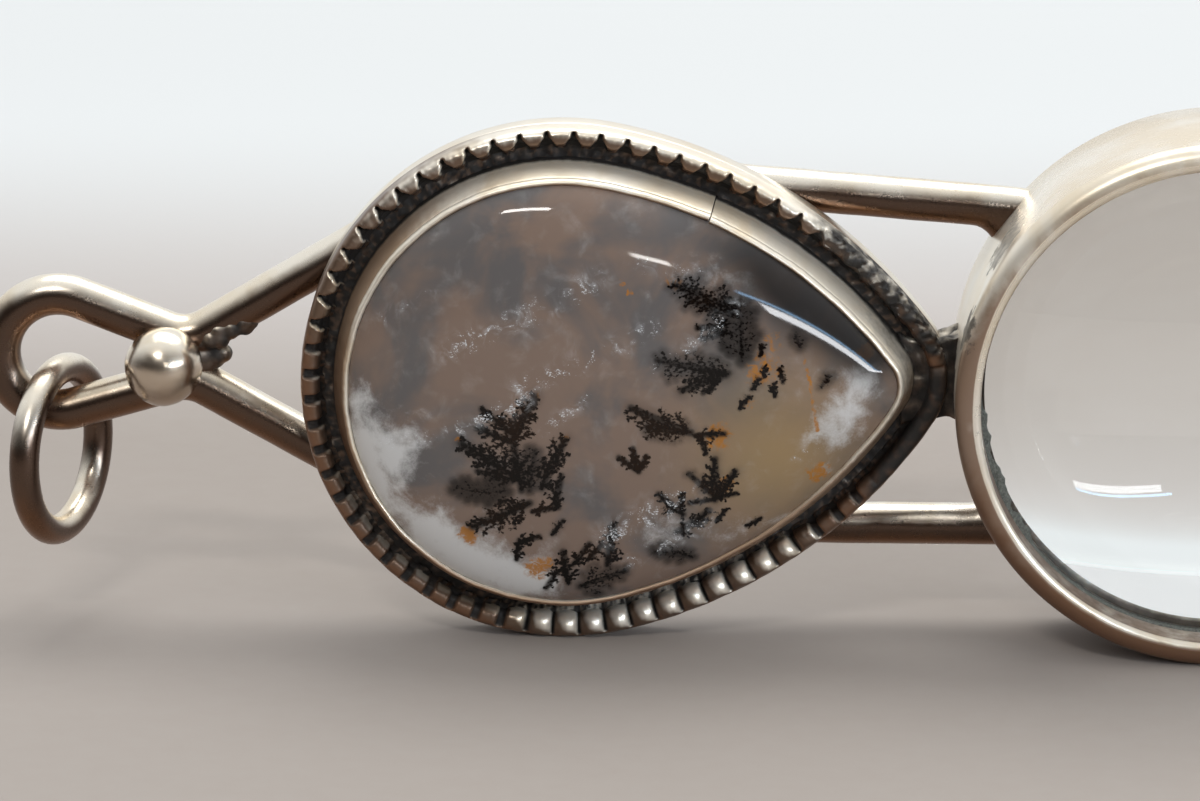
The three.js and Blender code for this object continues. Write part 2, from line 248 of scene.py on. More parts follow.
def circle(bm, sides, diameter, matrix, capped=False):  # a round section to spin
    made = bmesh.ops.create_circle(bm, segments=sides, radius=diameter / 2, matrix=matrix, cap_ends=capped)
    return made["verts"] + list({e for v in made["verts"] for e in v.link_edges})


def openEdges(bm):
    return [e for e in bm.edges if e.is_boundary]


def bevelled(bm, edges, size, segments):
    bmesh.ops.bevel(bm, geom=edges, offset=size, offset_type="OFFSET", segments=segments, profile=0.5,
                    affect="EDGES", material=-1)


def fromLens(point):  # distance from the lens's axis
    return math.hypot(point.x - lensCentre.x, point.z - lensCentre.z)


def wobble(point, scale, seed=0):
    return noise.noise(Vector(point) * scale + Vector((seed * 7.3, seed * 3.1, seed * 5.7)))


def smoothStep(low, high, value):
    t = np.clip((value - low) / (high - low), 0, 1)
    return t * t * (3 - 2 * t)


# The pear outline: four tangent arcs
tipX = pear["tipReach"] - pear["tipRadius"]
toRound = pear["flankRadius"] - pear["roundRadius"]
toTip = pear["flankRadius"] - pear["tipRadius"]
flankX = (toRound ** 2 - toTip ** 2 + tipX ** 2) / (2 * tipX)
flankZ = math.sqrt(toRound ** 2 - flankX ** 2)
tipTurn = math.atan2(flankZ, tipX - flankX)
roundTurn = math.atan2(flankZ, -flankX)
pearArcs = [
    {"x": tipX, "z": 0, "radius": pear["tipRadius"], "start": -tipTurn, "end": tipTurn},
    {"x": flankX, "z": -flankZ, "radius": pear["flankRadius"], "start": tipTurn, "end": roundTurn},
    {"x": 0, "z": 0, "radius": pear["roundRadius"], "start": roundTurn, "end": math.tau - roundTurn},
    {"x": flankX, "z": flankZ, "radius": pear["flankRadius"],
     "start": math.tau - roundTurn, "end": math.tau - tipTurn},
]


def sweepPear(bm, profile, spacing, closed=True, arcs=pearArcs):
    reach = max(out for out, rise in profile)
    for arc in arcs:
        turn = arc["end"] - arc["start"]
        middle = Vector((arc["x"], seat, arc["z"]))
        length = (arc["radius"] + reach) * turn
        runs = math.ceil(length / spacing / 40)  # short runs spin faster
        steps = max(2, math.ceil(length / runs / spacing))
        for run in range(runs):
            start = arc["start"] + turn * run / runs
            way = Vector((math.cos(start), 0, math.sin(start)))
            points = [middle + way * (arc["radius"] + out) - Vector((0, rise, 0)) for out, rise in profile]
            part = bmesh.new()
            geom = chain(part, points, closed)
            bmesh.ops.spin(part, geom=geom, cent=middle, axis=turnAxis, angle=turn / runs, steps=steps)
            mesh = bpy.data.meshes.new("run")
            part.to_mesh(mesh)
            part.free()
            bm.from_mesh(mesh)
            bpy.data.meshes.remove(mesh)
    bmesh.ops.remove_doubles(bm, verts=bm.verts, dist=weld)


# Where points lie on the outline: how far along it and out of it, and the way out
def pearPlaces(points, offset):
    x, z = points[:, 0], points[:, 2]
    tip = np.abs(np.arctan2(z, x - tipX)) <= tipTurn
    rounded = (np.abs(np.arctan2(z, x)) >= roundTurn) & ~tip
    which = np.where(tip, 0, np.where(rounded, 2, np.where(z > 0, 1, 3)))
    lengths = [(a["radius"] + offset) * (a["end"] - a["start"]) for a in pearArcs]
    before = np.concatenate([[0], np.cumsum(lengths)])
    centres = np.array([(a["x"], a["z"], a["radius"], a["start"]) for a in pearArcs])[which]
    dx, dz = x - centres[:, 0], z - centres[:, 1]
    turn = np.arctan2(dz, dx)
    turn = np.where(turn < centres[:, 3] - 1e-6, turn + math.tau, turn)
    along = before[which] + (turn - centres[:, 3]) * (centres[:, 2] + offset)
    out = np.hypot(dx, dz) - centres[:, 2]
    return along, out, np.cos(turn), np.sin(turn), before[-1]


def readPoints(bm):
    return np.array([v.co for v in bm.verts])


def writePoints(bm, points):
    for vert, point in zip(bm.verts, points):
        vert.co = point


# Frame wire, bent round pegs as on the bench
wire = {
    "diameter": 2.8, "rise": 1.45, "upperEnd": 11.1, "upperRail": 13.7, "lowerRail": 10.7,
    "upperShoulder": -2.3, "lowerShoulder": -5.1, "shoulderBend": 10,
    "waist": -25.6, "waistRise": 0.45, "waistGap": 0.3, "waistBend": 3,
    "loop": -34, "loopRise": 0.75, "loopBend": 4,
    "sides": 28, "step": 0.35, "sink": 1.3, "dome": 0.9, "uneven": 0.025, "loopUneven": 0.01, "flare": 0.75,
    "flareReach": 1.5, "flareFall": 2.2, "flareUnder": 1.3, "flareOver": -0.1, "flareLow": 0.35,
}


def bandLeft(z):
    return lensCentre.x - math.sqrt(bandRadius ** 2 - (z - lensCentre.z) ** 2)


def makeFrameWire(material):
    w = wire
    spread = (w["diameter"] + w["waistGap"]) / 2
    pegs = [  # x, z and bend, positive to the left
        (bandLeft(w["upperEnd"]) + w["sink"], w["upperEnd"], 0),
        (w["upperShoulder"], w["upperRail"] - w["shoulderBend"], w["shoulderBend"]),
        (w["waist"], w["waistRise"] + spread + w["waistBend"], -w["waistBend"]),
        (w["loop"], w["loopRise"], w["loopBend"]),
        (w["waist"], w["waistRise"] - spread - w["waistBend"], -w["waistBend"]),
        (w["lowerShoulder"], w["shoulderBend"] - w["lowerRail"], w["shoulderBend"]),
        (bandLeft(-w["lowerRail"]) + w["sink"], -w["lowerRail"], 0),
    ]
    headings = []
    for (x0, z0, b0), (x1, z1, b1) in zip(pegs, pegs[1:]):
        away = math.hypot(x1 - x0, z1 - z0)
        headings.append(math.atan2(z1 - z0, x1 - x0) - math.asin((b1 - b0) / away))

    def onPeg(peg, heading):
        x, z, bend = peg
        return Vector((x + bend * math.sin(heading), w["rise"], z - bend * math.cos(heading)))

    def spun(geom, **how):
        return bmesh.ops.spin(bm, geom=geom, axis=turnAxis, **how)["geom_last"]

    bm = bmesh.new()
    start = onPeg(pegs[0], headings[0])
    upright = Matrix.Rotation(math.pi / 2, 4, "Y")
    across = Matrix.Translation(start) @ Matrix.Rotation(-headings[0], 4, "Y") @ upright
    geom = circle(bm, w["sides"], w["diameter"], across, True)
    for i, heading in enumerate(headings):
        run = onPeg(pegs[i + 1], heading) - onPeg(pegs[i], heading)
        steps = math.ceil(run.length / w["step"])
        geom = spun(geom, cent=(0, 0, 0), dvec=run / steps, angle=0, steps=steps)
        if i + 1 < len(headings):
            bend = pegs[i + 1][2]
            turn = (headings[i + 1] - heading) % math.tau
            turn = turn if bend > 0 else turn - math.tau
            steps = math.ceil(abs(turn * bend) / w["step"]) + 2
            geom = spun(geom, cent=(pegs[i + 1][0], 0, pegs[i + 1][1]), angle=turn, steps=steps)
    bmesh.ops.contextual_create(bm, geom=[g for g in geom if isinstance(g, bmesh.types.BMEdge)])
    for vert in bm.verts:  # the solder flares at the rails' ends, and the hand-drawn wire is a little uneven
        p = vert.co
        toBand = fromLens(p) - bandRadius
        flare = w["flare"] * max(0, 1 - max(toBand, 0) / w["flareReach"]) ** w["flareFall"] if p.x > 0 else 0
        rail = w["upperEnd"] + (p.x - pegs[0][0]) * math.tan(headings[0]) if p.z > 0 else -w["lowerRail"]
        end = math.hypot(p.x - pegs[0][0], p.z - pegs[0][1]) if p.z > 0 else pegs[-1][0] - p.x
        if p.x > 0 and end < w["dome"]:  # the melted end is rounded
            core = Vector((p.x, w["rise"], rail))
            p.xyz = core + (p - core) * math.sqrt(max(0.01, 1 - (1 - end / w["dome"]) ** 2))
        if flare:
            inward = (p.z - rail) * rail < 0
            share = w["flareUnder"] if inward else w["flareOver"]
            p.z += (p.z - rail) * flare * share * (1 if p.z > 0 else w["flareLow"])
        uneven = w["uneven"] if p.x > w["waist"] else w["loopUneven"]  # truer where the ring swings
        p += Vector((0, 1, 1)) * uneven * wobble(p, 0.5)
    toPlace(bm)
    addPiece(bm, "frame_wire_bent", material, ["frame_wire"])


# Ball on the waist
ball = {"radius": 2.66, "x": -26.8, "y": -0.95, "z": 0.45, "flat": 0.975, "dent": 0.03, "pit": 0.006}


def makeBall(material):
    bm = bmesh.new()
    bmesh.ops.create_uvsphere(bm, u_segments=72, v_segments=48, radius=ball["radius"])
    for vert in bm.verts:
        vert.co *= 1 + ball["dent"] * wobble(vert.co, 0.42, 3) + ball["pit"] * wobble(vert.co, 2.2, 4)
    bmesh.ops.scale(bm, verts=bm.verts, vec=(ball["flat"], 1, 1))
    bmesh.ops.translate(bm, verts=bm.verts, vec=(ball["x"], ball["y"], ball["z"]))
    toPlace(bm)
    addPiece(bm, "waist_ball_cast", material, ["waist_ball"])


# Solder at the waist: a web between the wires and a run of shiny lumps up the right-hand wire
solder = {
    "web": [(-24.6, 1.4, 0.45, 1.25), (-23.7, 1.45, 0.6, 0.95), (-25.8, 1.3, 0.45, 1.6),
            (-23.0, 1.5, 0.75, 0.65)],
    "lumps": 18, "from": (-24.3, 0.6, 1.8), "to": (-21.2, 0.7, 3.3), "least": 0.5, "most": 0.8,
    "sway": [(-0.12, 0.12), (-0.1, 0.4), (-0.25, 0.12)], "uneven": 0.15, "voxel": 0.08, "smoothing": 16,
    "soot": 0.5,
}


def makeSolder(material):
    draw = random.Random(5)
    bm = bmesh.new()
    blobs = [(Vector(b[:3]), b[3]) for b in solder["web"]]
    for i in range(solder["lumps"]):
        place = Vector(solder["from"]).lerp(Vector(solder["to"]), i / (solder["lumps"] - 1))
        place += Vector([draw.uniform(*sway) for sway in solder["sway"]])
        blobs.append((place, draw.uniform(solder["least"], solder["most"])))
    for place, radius in blobs:
        made = bmesh.ops.create_icosphere(bm, subdivisions=3, radius=radius)
        for vert in made["verts"]:
            vert.co *= 1 + solder["uneven"] * wobble(vert.co, 1.1, radius * 10)
        bmesh.ops.translate(bm, verts=made["verts"], vec=place)
    toPlace(bm)
    piece = addPiece(bm, "waist_solder", material)
    skin = piece.modifiers.new("skin", "REMESH")  # one skin over lumps that overlap
    skin.mode = "VOXEL"
    skin.voxel_size = solder["voxel"] * mm
    piece.modifiers.new("flow", "SMOOTH").iterations = solder["smoothing"]
    graph = bpy.context.evaluated_depsgraph_get()
    mesh = bpy.data.meshes.new_from_object(piece.evaluated_get(graph))
    piece.modifiers.clear()
    piece.data = mesh
    mesh.shade_smooth()
    soot = [solder["soot"] + 0.5 * wobble(p / mm, 1.1, 2) for p in meshRows(mesh.vertices, "co")]
    setLayer(mesh, "soot", np.clip(soot, 0, 1))
    setUnder(mesh, (0, 0, 1))


# Hanging ring
ringShape = {"wire": 2, "outer": 13, "turn": -20.6, "sides": 24, "steps": 160, "uneven": 0.002}
ringLow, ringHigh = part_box("jump_ring")


def makeRing(material):
    bm = bmesh.new()
    bend = (ringShape["outer"] - ringShape["wire"]) / 2
    section = Matrix.Translation((0, bend, 0))
    geom = circle(bm, ringShape["sides"], ringShape["wire"], section)
    bmesh.ops.spin(bm, geom=geom, cent=(0, 0, 0), axis=(1, 0, 0), angle=math.tau,
                   steps=ringShape["steps"], use_merge=True)
    for vert in bm.verts:
        vert.co *= 1 + ringShape["uneven"] * wobble(vert.co, 0.35, 6)
    turn = Matrix.Rotation(math.radians(ringShape["turn"]), 3, "Z")
    bmesh.ops.rotate(bm, verts=bm.verts, cent=(0, 0, 0), matrix=turn)
    bmesh.ops.scale(bm, verts=bm.verts, vec=(mm, mm, mm))
    bmesh.ops.translate(bm, verts=bm.verts, vec=(ringLow + ringHigh) / 2)
    addPiece(bm, "jump_ring_wire", material, ["jump_ring"], "hanging_ring")


# Plate under the setting
plate = {"offset": 3.1, "edge": 0.2, "spacing": 0.5}


def makePlate(material):
    bm = bmesh.new()
    profile = [(plate["offset"], 0), (plate["offset"], seat)]
    sweepPear(bm, profile, plate["spacing"], closed=False)
    rims = openEdges(bm)
    bmesh.ops.holes_fill(bm, edges=rims)
    bmesh.ops.recalc_face_normals(bm, faces=bm.faces)
    bevelled(bm, rims, plate["edge"], 3)
    toPlace(bm, True)
    addPiece(bm, "backplate_sheet", material, ["backplate"])


# Rough solder neck from the setting's tip to the lens band
neck = {
    "length": 4.6, "height": 6.3, "depth": 3.3, "middle": 24.5, "y": -1.1, "z": -0.25, "waist": 0.2,
    "belly": 0.25, "lumps": 0.28, "grit": 0.1, "soot": 0.66, "patches": 0.45, "cuts": 20,
}


def makeNeck(material):
    bm = bmesh.new()
    size = Matrix.Diagonal((neck["length"], neck["depth"], neck["height"], 1))
    bmesh.ops.create_cube(bm, size=1, matrix=size)
    bmesh.ops.subdivide_edges(bm, edges=bm.edges, cuts=neck["cuts"], use_grid_fill=True)
    soot = []
    for vert in bm.verts:
        p = vert.co
        share = p.x / neck["length"] * 2
        p.z *= 1 - neck["waist"] * (1 - share * share)
        p.y -= neck["belly"] * (1 - (p.z / neck["height"] * 2) ** 2) if p.y < 0 else 0
        lumps = Vector((0, wobble(p, 1.6, 8), wobble(p, 1.3, 9)))
        p += lumps * neck["lumps"] + Vector((0, wobble(p, 4, 8), wobble(p, 4, 9))) * neck["grit"]
        soot.append(neck["soot"] + neck["patches"] * wobble(p, 1.2, 11))
    setVerts(bm, soot=soot)
    bmesh.ops.smooth_vert(bm, verts=bm.verts, factor=0.5, use_axis_x=True, use_axis_y=True, use_axis_z=True)
    bmesh.ops.translate(bm, verts=bm.verts, vec=(neck["middle"], neck["y"], neck["z"]))
    toPlace(bm, True)
    addPiece(bm, "neck_solder", material, sharp=80)


# Beaded border: smooth outside, a row of rolled beads inside, melted and burnt at the tip
border = {
    "inner": 1.85, "outer": 3.1, "ledge": 0.28, "ledgeRise": 0.6, "foot": 0.78, "rise": 1.12, "pitch": 1.77,
    "spacing": 0.11, "slotDepth": 0.8, "slotBack": 0.35, "square": 0.75, "sectionSteps": 16, "uneven": 0.06,
    "pearlReach": 0.5,
}
borderZones = {  # from where, and from where on in full
    "upper": (1, 7), "pearlsDown": (-9, -12), "pearlsRight": (-7, -2), "wornRight": (2, 9),
    "wornUp": (9, 12), "meltedRight": (15.5, 18.5), "meltedUp": (1, 2), "flatRight": (18.5, 21),
    "flatDown": (1.5, 0),
}


def zone(name, values):
    return smoothStep(*borderZones[name], values)


def makeBorder(material):
    b = border
    bm = bmesh.new()
    middle, half = (b["inner"] + b["outer"]) / 2, (b["outer"] - b["inner"]) / 2
    profile = [(b["inner"] - b["ledge"], 0), (b["outer"], 0)]
    for i in range(b["sectionSteps"] + 1):
        turn = math.pi * i / b["sectionSteps"]
        across = math.copysign(abs(math.cos(turn)) ** b["square"], math.cos(turn))
        profile.append((middle + half * across, b["foot"] + b["rise"] * math.sin(turn) ** b["square"]))
    profile += [(b["inner"] - 0.04, b["foot"] - 0.1), (b["inner"] - b["ledge"], b["ledgeRise"])]
    sweepPear(bm, profile, b["spacing"])
    points = readPoints(bm)
    along, out, wayX, wayZ, total = pearPlaces(points, middle)
    x, z, rise = points[:, 0], points[:, 2], seat - points[:, 1]
    inside = np.clip((middle - out) / half, -1, 1)  # -1 at the outer rim, 1 at the beads' inner ends
    beads = round(total / b["pitch"])
    gap = np.abs(np.round(along / total * beads) - along / total * beads) * 2  # 0 in a slot, 1 on a bead
    upper = zone("upper", z)
    pearls = zone("pearlsDown", z) * zone("pearlsRight", x)  # rounder beads under the stone
    melted = zone("meltedRight", x) * zone("meltedUp", z)
    flat = zone("flatRight", x) * zone("flatDown", z)
    wearAndLight = zone("wornRight", x) * zone("wornUp", z) * 0.45
    crisp = np.maximum(upper, pearls)
    wide = 0.29 + upper * (0.42 * smoothStep(-0.3, 0.9, inside) - 0.2)  # the upper slots are wedges
    slots = smoothStep(wide + 0.16, wide - 0.08, gap) * smoothStep(-0.85, -0.4, inside)
    rounded = 1 - np.sqrt(np.clip(1 - (1 - gap) ** 2 * 0.97, 0, 1))
    cut = slots * (1 - pearls) + rounded * pearls * smoothStep(-0.98, -0.5, inside)
    cut *= (1 - np.clip(wearAndLight + flat + melted * 0.85, 0, 1)) * (0.62 + 0.38 * crisp)
    lumps, grit = np.array([(wobble(p, 1.5, 13), wobble(p, 3.8, 14)) for p in points]).T
    crown = np.clip(rise - b["foot"], 0, None) / b["rise"]
    crown += (np.minimum(crown, np.sqrt(np.clip(1 - inside ** 2, 0, 1))) - crown) * pearls
    top = np.clip(rise / b["foot"], 0, 1)
    uneven = [b["uneven"] * wobble((round(a / total * beads + 0.5), 0, 0), 1.7, 12) for a in along]
    height = np.minimum(rise, b["foot"]) + b["rise"] * crown * (1 - cut * b["slotDepth"] + uneven)
    height += melted * top * (lumps * 0.22 + grit * 0.24) + 0.03 * grit * top
    shift = cut * b["slotBack"] * smoothStep(0, 1, inside) * top
    shift -= b["pearlReach"] * pearls * smoothStep(-0.3, 1, inside)  # the pearls reach in to the bezel
    shift += melted * top * grit * 0.18 - 0.03 * lumps * top
    dark = smoothStep(0.03 + 0.12 * pearls, 0.45 + 0.25 * pearls, cut) * (0.8 + 0.12 * crisp)
    burnt = flat * (0.8 + 0.3 * lumps) * smoothStep(-1, -0.6, inside)
    burnt = np.maximum(burnt, melted * (0.74 + 0.5 * lumps))
    ledge = (crown < 0.05) * (out < middle) * (0.55 + 1.1 * grit)
    # the crowns of the pearls and upper beads are polished, and painted lighter as a painted highlight
    shines = (pearls * 0.2 + upper * 0.12) * smoothStep(0.5, 0.9, crown) * (1 - cut)
    shines -= 0.24 * (1 - upper) * (1 - pearls)  # the left blocks are dull, and painted brown as painted shade on the side away from the light
    points += np.stack([wayX * shift, rise - height, wayZ * shift], 1)
    writePoints(bm, points)
    setVerts(bm, soot=np.maximum(np.maximum(dark, burnt), ledge), polish=shines)
    toPlace(bm, True)
    # painted light from the upper right: skin facing down and to the left is painted browner
    addPiece(bm, "beaded_border_strip", material, ["beaded_border"], sharp=70,
             wearAndLight=(0.6, 0, 0.8))


# Black gritty floor of the channel between the border and the bezel
channel = {
    "inner": 0.5, "outer": 1.95, "rise": 0.45, "spacing": 0.16, "steps": 9, "lumps": 0.16, "grit": 0.12,
    "soot": 0.76, "patches": 0.75,
}


def makeChannel(material):
    c = channel
    bm = bmesh.new()
    across = [c["inner"] + (c["outer"] - c["inner"]) * i / c["steps"] for i in range(c["steps"] + 1)]
    profile = [(c["inner"], 0), (c["outer"], 0)] + [(out, c["rise"]) for out in reversed(across)]
    sweepPear(bm, profile, c["spacing"])
    soot = []
    for vert in bm.verts:
        p = vert.co
        if p.y < seat - 0.1:
            p.y -= c["lumps"] * wobble(p, 1.8, 20) + c["grit"] * wobble(p, 4.5, 21)
        soot.append(c["soot"] + c["patches"] * wobble(p, 3.0, 22))
    setVerts(bm, soot=soot)
    toPlace(bm, True)
    addPiece(bm, "channel_floor", material, sharp=80)


# Bezel: a strip burnished over the stone's edge, its start lapped over its end
bezel = {
    "seamTurn": 64, "seamGap": 0.1, "step": 0.13, "spacing": 0.14, "lipFoot": 2.4, "lipHeight": 1.2,
    "lineLow": 3.38, "lineHigh": 3.43, "crest": 3.45, "insideTop": 3.7, "wide": 0.06, "fine": 0.022,
}
bezelProfile = [  # out from the stone's edge, and up
    (0.97, 0), (0.96, 0.7), (0.92, 1.05), (0.79, 1.6), (0.63, 2.15), (0.46, 2.7), (0.30, 3.2), (0.24, 3.36),
    (0.21, 3.40), (0.215, 3.46), (0.17, 3.62), (0.08, 3.78), (-0.02, 3.85), (-0.12, 3.83), (-0.2, 3.75),
    (-0.27, 3.6), (-0.2, 3.48), (-0.03, 3.1), (0.03, 2.6), (0.03, 0),
]


def makeBezel(material):
    seam = math.radians(bezel["seamTurn"])
    flank = pearArcs[1]
    short = dict(flank, end=seam - bezel["seamGap"] / flank["radius"])
    arcs = [dict(flank, start=seam), *pearArcs[2:], pearArcs[0], short]
    bm = bmesh.new()
    sweepPear(bm, bezelProfile, bezel["spacing"], arcs=arcs)
    bmesh.ops.holes_fill(bm, edges=openEdges(bm))
    points = readPoints(bm)
    along, out, wayX, wayZ, total = pearPlaces(points, 0)
    toSeam = 2 * tipTurn * pear["tipRadius"] + (seam - tipTurn) * pear["flankRadius"]
    ahead = (along - toSeam + 1e-3) % total  # from the seam, past the round end
    soot, polish = [], []
    for i, vert in enumerate(bm.verts):
        rise = seat - points[i, 1]
        lip = min(1, max(0, (rise - bezel["lipFoot"]) / bezel["lipHeight"]))
        uneven = bezel["wide"] * wobble(points[i], 0.5, 30) + bezel["fine"] * wobble(points[i], 2.4, 31)
        lift = bezel["step"] * (math.exp(-ahead[i] / 1.6) - 0.3 * math.exp((ahead[i] - total) / 2))
        shift = uneven * (0.4 + 0.6 * lip) + lift
        vert.co += Vector((wayX[i] * shift, -(0.5 * uneven + lift * 0.5) * lip, wayZ[i] * shift))
        under = out[i] < -0.2 and rise < bezel["insideTop"]
        pressed = bezel["lineLow"] < rise < bezel["lineHigh"] and out[i] > 0.1  # the line under the lip
        burnt = 0.5 * smoothStep(18.0, 21.5, points[i, 0]) * smoothStep(3.4, 3.0, rise)
        soot.append(1 if under else max(0.45 * pressed, burnt, smoothStep(1.35, 0.95, rise)))
        # the crest is polished, and painted lighter higher up and darker low down as painted light and shade
        crest = rise > bezel["crest"] and not under
        polish.append(-0.12 + 0.44 * smoothStep(-13, -2, points[i, 2]) if crest else 0)
    setVerts(bm, soot=soot, polish=polish)
    toPlace(bm, True)
    # painted light from the upper right: skin facing down and to the left is painted browner
    addPiece(bm, "stone_bezel_strip", material, ["stone_bezel"], sharp=50,
             wearAndLight=(0.5, 0, 0.87))


# Lens band and what it holds: turned about the lens's axis
band = {
    "wall": 1.7, "front": -8.85, "back": 2.85, "frontRound": 1.1, "innerRound": 0.45, "backRound": 0.3,
    "segments": 256, "insideSoot": 0.35, "rimPolish": 0.5, "wallPolish": 0.26, "topPaintedLight": 0.34,
}
lens = {"clearance": 0.2, "recess": 2.9, "edge": 2.6, "curve": 46, "rings": 26}
seatRing = {"width": 0.7, "depth": 1.2, "gap": 0.1, "play": 0.02, "round": 0.25, "soot": 0.45}
bandInner = bandRadius - band["wall"]
lensRadius = bandInner - lens["clearance"]
lensFront = band["front"] + lens["recess"]
lensBack = lensFront + lens["edge"]


def turned(bm, profile, closed=True):  # profile of radius and y, turned about the lens's axis
    points = [(lensCentre.x + radius, y, lensCentre.z) for radius, y in profile]
    geom = chain(bm, points, closed)
    cent = (lensCentre.x, 0, lensCentre.z)
    bmesh.ops.spin(bm, geom=geom, cent=cent, axis=turnAxis, angle=math.tau, steps=band["segments"],
                   use_merge=True)
    bmesh.ops.remove_doubles(bm, verts=bm.verts, dist=weld)
    bmesh.ops.recalc_face_normals(bm, faces=bm.faces)


def roundEdge(bm, radius, y, size, segments):  # bevels the ring of edges at a radius and a depth
    ring = {v for v in bm.verts if abs(fromLens(v.co) - radius) < 1e-3 and abs(v.co.y - y) < 1e-3}
    bevelled(bm, [e for e in bm.edges if ring.issuperset(e.verts)], size, segments)


def makeBand(material):
    inner, front, back = bandInner, band["front"], band["back"]
    bm = bmesh.new()
    turned(bm, [(bandRadius, front), (inner, front), (inner, back), (bandRadius, back)])
    roundEdge(bm, bandRadius, front, band["frontRound"], 8)
    roundEdge(bm, inner, front, band["innerRound"], 5)
    roundEdge(bm, bandRadius, back, band["backRound"], 3)
    roundEdge(bm, inner, back, band["backRound"] / 2, 3)
    soot, polish = [], []
    for vert in bm.verts:
        radius = fromLens(vert.co)
        rim = inner + 0.05 < radius < inner + 0.5
        shine = band["rimPolish"] if rim else band["wallPolish"] if radius > bandRadius - 0.01 else 0
        soot.append(band["insideSoot"] if radius < inner + 0.05 else 0)
        high = (vert.co.z - lensCentre.z) / bandRadius
        polish.append(shine + band["topPaintedLight"] * high)  # painted shade and reflection: lighter towards the top, browner in the lower half
    setVerts(bm, soot=soot, polish=polish)
    toPlace(bm)
    addPiece(bm, "lens_band_ring", material, ["lens_band"])


def bulge(radius):
    return math.sqrt(lens["curve"] ** 2 - radius ** 2) - math.sqrt(lens["curve"] ** 2 - lensRadius ** 2)


def makeLens(material):
    shares = [i / lens["rings"] for i in range(lens["rings"] + 1)]
    front = [(s * lensRadius, lensFront - bulge(s * lensRadius)) for s in shares]
    back = [(s * lensRadius, lensBack + bulge(s * lensRadius)) for s in reversed(shares)]
    bm = bmesh.new()
    turned(bm, front + back, closed=False)
    toPlace(bm)
    addPiece(bm, "lens_glass_disc", material, ["lens"])


def makeSeat(material):
    outer = bandInner - seatRing["play"]
    inner = outer - seatRing["width"]
    front = lensBack + bulge(inner) + seatRing["gap"]
    back = front + seatRing["depth"]
    bm = bmesh.new()
    turned(bm, [(outer, front), (inner, front), (inner, back), (outer, back)])
    roundEdge(bm, inner, back, seatRing["round"], 3)
    setVerts(bm, soot=[seatRing["soot"]] * len(bm.verts))
    toPlace(bm)
    addPiece(bm, "lens_seat_ring", material, ["lens_seat"])


# Putty at the lens's edge: a thin line, with crumbs at the lower left
putty = {
    "thin": 0.14, "thick": 0.56, "height": 0.5, "from": 184, "to": 217, "fade": 4, "segments": 5,
    "ragged": 0.9, "least": 0.08, "bed": 0.05, "uneven": 0.12,
}


def makePutty(material):
    outer = bandInner + putty["bed"]
    steps, fade = putty["segments"], putty["fade"]
    shares = [i / steps for i in range(steps + 1)]
    front = [(outer - s, lensFront - (1 - s * s) * putty["height"] - putty["bed"]) for s in shares]
    bm = bmesh.new()
    turned(bm, [(outer, lensFront + 0.5), *front, (outer - 1.0, lensFront + 0.3)])
    for vert in bm.verts:
        p = vert.co
        dx, dz = p.x - lensCentre.x, p.z - lensCentre.z
        radius = fromLens(p)
        angle = math.degrees(math.atan2(dz, dx)) % 360
        crumbs = smoothStep(putty["from"] - fade, putty["from"] + fade, angle)
        crumbs *= smoothStep(putty["to"] + fade, putty["to"] - fade, angle)
        ragged = wobble((angle * 0.35, 0, 0), 0.8, 40) + 0.6 * wobble((angle, 0, 0), 0.7, 41)
        width = putty["thin"] + (putty["thick"] - putty["thin"]) * crumbs * (0.85 + putty["ragged"] * ragged)
        width += 0.1 * max(0, ragged)
        depth = (outer - radius) * max(putty["least"], width)
        ratio = (outer - depth) / radius
        p.x, p.z = lensCentre.x + dx * ratio, lensCentre.z + dz * ratio
        p.y -= bulge(outer - depth - putty["bed"]) * 0.9 if depth > 0.02 else 0
        p.y += putty["uneven"] * wobble(p, 2.5, 42) * crumbs
    toPlace(bm)
    addPiece(bm, "lens_cement_bead", material, ["lens_cement"], sharp=80)


